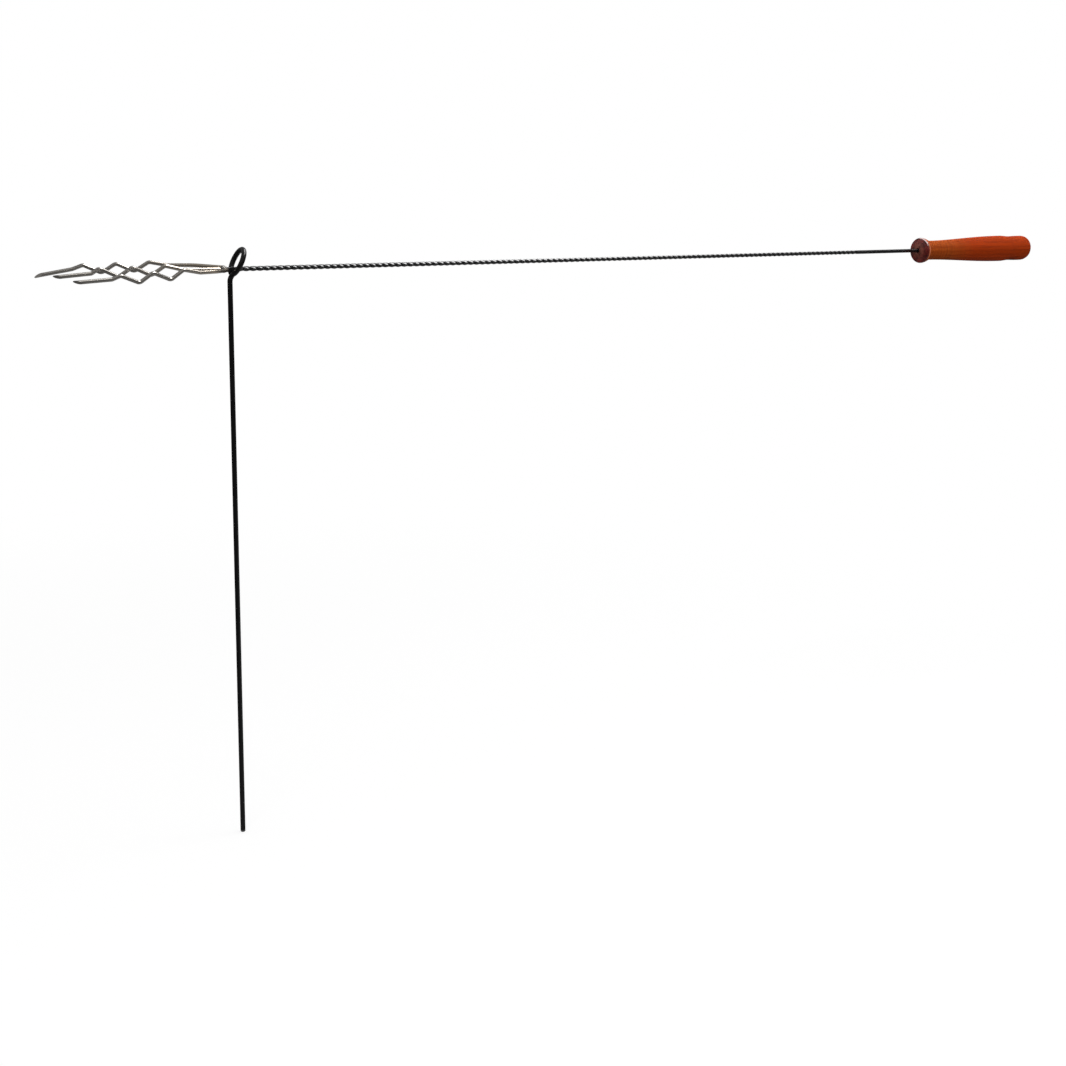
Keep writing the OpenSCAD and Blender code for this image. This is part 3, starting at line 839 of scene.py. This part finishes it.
def makeWeld(s):
    # Spindle on the bar's axis: a circle arc in outline, with slanted ripples of weld metal
    low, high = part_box("root_weld")
    t = np.linspace(0, 1, s["rings"])[:, None]
    a = (np.arange(s["sides"]) / s["sides"] * 2 * np.pi)[None]
    length = tines["weldLength"]
    arc = (length ** 2 / 4 + s["radius"] ** 2) / (2 * s["radius"])
    rootX = barLow.x + length / 2
    x = rootX - length + t * length
    d = x - (rootX - length / 2)
    r = np.sqrt(np.maximum(arc * arc - d * d, 0)) - (arc - s["radius"])
    ripple = s["rippleDepth"] * (np.sin(2 * np.pi * s["ripples"] * t + 1.5 * np.cos(a)) - 1)
    r = np.maximum(r + ripple * np.sin(np.pi * t), 0.00002) + 0 * a
    x = x + 0 * a
    inside = (x > low.x) & (x < high.x)
    grid = np.stack([x, r * np.cos(a), barAxisZ + r * np.sin(a)], -1)
    return closedMesh("rootWeld", grid[inside[:, 0]], x[inside[:, 0], 0] - low.x, 60,
                      {"warmTintAndSheen": 0.7 * np.ones_like(x[inside[:, 0]])})


# On the weld the tint colour is only a slightly warmer, darker tone of the weld metal, with no painted reflection
weldSteel = drawnSteel("weldSteel", (0.26, 0.25, 0.235, 1), (0.25, 0.235, 0.21, 1), 0.44, "warmTintAndSheen", 0.5)
dress(makeWeld(weld), "fork", "root_weld", weldSteel)


# Handle

handle = {
    "length": 0.2035,
    "bead": 0.0305,
    "neck": 0.0232,
    "swell": 0.032,
    "groove": 0.030,
    "tail": 0.0308,
    "dome": 0.003,
    "beadEdge": 0.002,
    "beadLength": 0.015,
    "swellEarly": 0.9,
    "grooveFall": 0.017,
    "grooveRise": 0.014,
    "tailRun": 0.008,
    "endRound": 0.011,
    "endSquare": 3.2,
    "bore": 0.0026,
    "boreDepth": 0.062,
    "darkReach": 0.0007,      # behind the widest ring of the bead
    "lineAt": 0.0013,
    "lineHalf": 0.001,
    "neckReach": 0.085,
    # Painted shade: a dark patch on the underside of the tail, behind the groove
    "underShadeAt": 1.100,
    "underShadeTurn": 262.0,       # degrees from the far side over the top
    "sides": 144,
}


def glide(start, end, t):
    return start + (end - start) * (1 - np.cos(np.pi * t)) / 2


def handleOutline(s):
    # Distance from the face and radius, along the bore from its bottom, over the face and on to the round end.
    # Each turned stretch is half a cosine wave; the end is a squared ellipse
    rim = s["bead"] / 2 - s["beadEdge"]
    dome = (rim ** 2 + s["dome"] ** 2) / (2 * s["dome"])
    beadAt = s["dome"] + s["beadEdge"]
    neckAt = beadAt + s["beadLength"]
    endAt = s["length"] - s["endRound"]
    tailAt = endAt - s["tailRun"]
    grooveAt = tailAt - s["grooveRise"]
    swellAt = grooveAt - s["grooveFall"]

    def stretch(first, second, start, end, count, early=1.0):
        t = np.linspace(0, 1, count + 1)[1:]
        return np.stack([start + t * (end - start), glide(first, second, t ** early) / 2], -1)

    lip = 0.0003
    mouth = dome - math.sqrt(dome ** 2 - (s["bore"] + lip) ** 2)
    boreX = np.linspace(s["boreDepth"], mouth + lip, 30)
    bore = np.stack([boreX, np.full(30, s["bore"])], -1)
    faceR = np.linspace(s["bore"] + lip, rim, 24)
    face = np.stack([dome - np.sqrt(dome ** 2 - faceR ** 2), faceR], -1)
    e = np.radians(np.arange(10, 91, 10))
    edge = np.stack([beadAt - s["beadEdge"] * np.cos(e), rim + s["beadEdge"] * np.sin(e)], -1)
    u = np.sin(np.linspace(0, np.pi / 2, 26))[1:]
    end = np.stack([endAt + u * s["endRound"], s["tail"] / 2 * (1 - u ** s["endSquare"]) ** (1 / s["endSquare"])], -1)
    end[-1, 1] = 0.00002
    return np.concatenate([
        bore, face, edge,
        stretch(s["bead"], s["neck"], beadAt, neckAt, 28),
        stretch(s["neck"], s["swell"], neckAt, swellAt, 70, s["swellEarly"]),
        stretch(s["swell"], s["groove"], swellAt, grooveAt, 20),
        stretch(s["groove"], s["tail"], grooveAt, tailAt, 14),
        [[endAt, s["tail"] / 2]],
        end,
    ]), beadAt


def makeHandle(s):
    outline, beadAt = handleOutline(s)
    faceX = handleHigh.x - s["length"]
    a = np.arange(s["sides"]) / s["sides"] * 2 * np.pi
    x = faceX + outline[:, :1] + 0 * a
    r = outline[:, 1:]
    grid = np.stack([x, r * np.cos(a), barAxisZ + r * np.sin(a)], -1)
    along = pathLength(np.pad(outline, ((0, 0), (0, 1))))
    # Masks along the handle: dark dye on the face and bead, the thin rubbed line behind it, varnish on the face and
    # its edge, the paler neck, the middle of the face, where a pale reflection is painted, and painted shade under the
    # tail
    d = outline[:, 0] - beadAt
    masks = {
        "darkEnd": np.clip((s["darkReach"] - d) / 0.0006, 0, 1),
        "rubbedLine": np.exp(-((d - s["lineAt"]) / s["lineHalf"]) ** 2),
        "varnish": np.clip(-d / 0.0005, 0, 1),
        "paleNeck": np.clip(d / 0.004, 0, 1) * np.clip((s["neckReach"] - d) / 0.045, 0, 1),
        # The middle of the face, where a pale reflection is painted
        "faceMiddle": np.clip(-d / 0.001, 0, 1) * np.exp(-(outline[:, 1] / 0.0095) ** 4),
    }
    for name in ("darkEnd", "rubbedLine", "varnish", "paleNeck", "faceMiddle"):
        masks[name][:30] = name == "darkEnd"
        masks[name] = masks[name][:, None] * np.ones(s["sides"])
    # Painted shade under the tail: a dark patch at its bottom, behind the groove
    masks["underShade"] = np.exp(-((x - s["underShadeAt"]) / 0.008) ** 2 - ((a - math.radians(s["underShadeTurn"])) / 0.55) ** 2)
    return closedMesh("turnedHandle", grid, along, 50, masks)


def stainedWood():
    # Stained turned wood: long fibres from noise drawn out along X, growth bands by distance from an off-centre
    # pith, darker end grain on the face with a painted pale reflection in its middle, painted shade under the tail,
    # and a thin bright line where the dye is rubbed off the bead's rim
    material, tree, shader = newMaterial("stainedWood")
    place = addNode(tree, "ShaderNodeTexCoord").outputs["Object"]
    centred = addNode(tree, "ShaderNodeMapping")
    centred.inputs["Location"].default_value = (0, 0.019, -barAxisZ - 0.031)
    link(tree, place, centred.inputs["Vector"])
    fibres = noiseOn(tree, stretched(tree, centred.outputs["Vector"], (14.0, 900.0, 900.0)), 1.0, 4.0, 0.62)
    blotches = noiseOn(tree, stretched(tree, centred.outputs["Vector"], (9.0, 70.0, 70.0)), 1.0, 3.0, 0.5)
    waves = addNode(tree, "ShaderNodeTexWave", wave_type="RINGS", rings_direction="X")
    link(tree, stretched(tree, centred.outputs["Vector"], (1.0, 1.0, 1.0)), waves.inputs["Vector"])
    for label, value in (("Scale", 62.0), ("Distortion", 2.2), ("Detail", 2.0), ("Detail Scale", 0.6)):
        waves.inputs[label].default_value = value
    rings = noiseOn(tree, stretched(tree, place, (620.0, 12.0, 12.0)), 1.0, 3.0, 0.6)
    mottles = noiseOn(tree, place, 210.0, 3.0, 0.55)
    body = mixColour(tree, remap(tree, blotches, 0.3, 0.7), (0.42, 0.042, 0.004, 1), (0.57, 0.060, 0.006, 1))
    neck = attributeOf(tree, "paleNeck")
    necked = mixColour(tree, calculate(tree, "MULTIPLY", neck, 0.8), body, (0.50, 0.100, 0.013, 1))
    banded = mixColour(tree, calculate(tree, "MULTIPLY", waves.outputs["Fac"], 0.35), necked, (0.31, 0.034, 0.005, 1))
    streaked = mixColour(tree, remap(tree, fibres, 0.52, 0.7, 0.0, 0.55), banded, (0.20, 0.022, 0.005, 1))
    turned = calculate(tree, "MULTIPLY", neck, remap(tree, rings, 0.5, 0.68, 0.0, 0.6))
    marked = mixColour(tree, turned, streaked, (0.2, 0.03, 0.006, 1))
    # Painted shade: the wood goes dark in the patch under the tail
    underShaded = mixColour(tree, calculate(tree, "MULTIPLY", attributeOf(tree, "underShade"), 0.85), marked,
                        (0.07, 0.008, 0.003, 1))
    ends = mixColour(tree, remap(tree, mottles, 0.38, 0.62), (0.060, 0.0032, 0.0020, 1), (0.200, 0.017, 0.012, 1))
    # Painted reflection: a pale greyish patch in the middle of the face, where the varnish mirrors pale surroundings
    middle = calculate(tree, "MULTIPLY", attributeOf(tree, "faceMiddle"), remap(tree, mottles, 0.35, 0.6, 0.25, 0.85))
    paleReflection = mixColour(tree, middle, ends, (0.22, 0.078, 0.052, 1))
    grained = mixColour(tree, attributeOf(tree, "darkEnd"), underShaded, paleReflection)
    lined = mixColour(tree, calculate(tree, "MULTIPLY", attributeOf(tree, "rubbedLine"), 0.85), grained,
                      (0.90, 0.30, 0.14, 1))
    link(tree, lined, shader.inputs["Base Color"])
    link(tree, remap(tree, fibres, 0.3, 0.75, 0.38, 0.52), shader.inputs["Roughness"])
    shader.inputs["Specular IOR Level"].default_value = 0.02
    link(tree, attributeOf(tree, "varnish"), shader.inputs["Coat Weight"])
    shader.inputs["Coat Roughness"].default_value = 0.2
    addBump(tree, shader, fibres, 0.25, 0.00012)
    return material


dress(makeHandle(handle), "handle", "handle", stainedWood())


bpy.context.scene.view_settings.view_transform = "Standard"
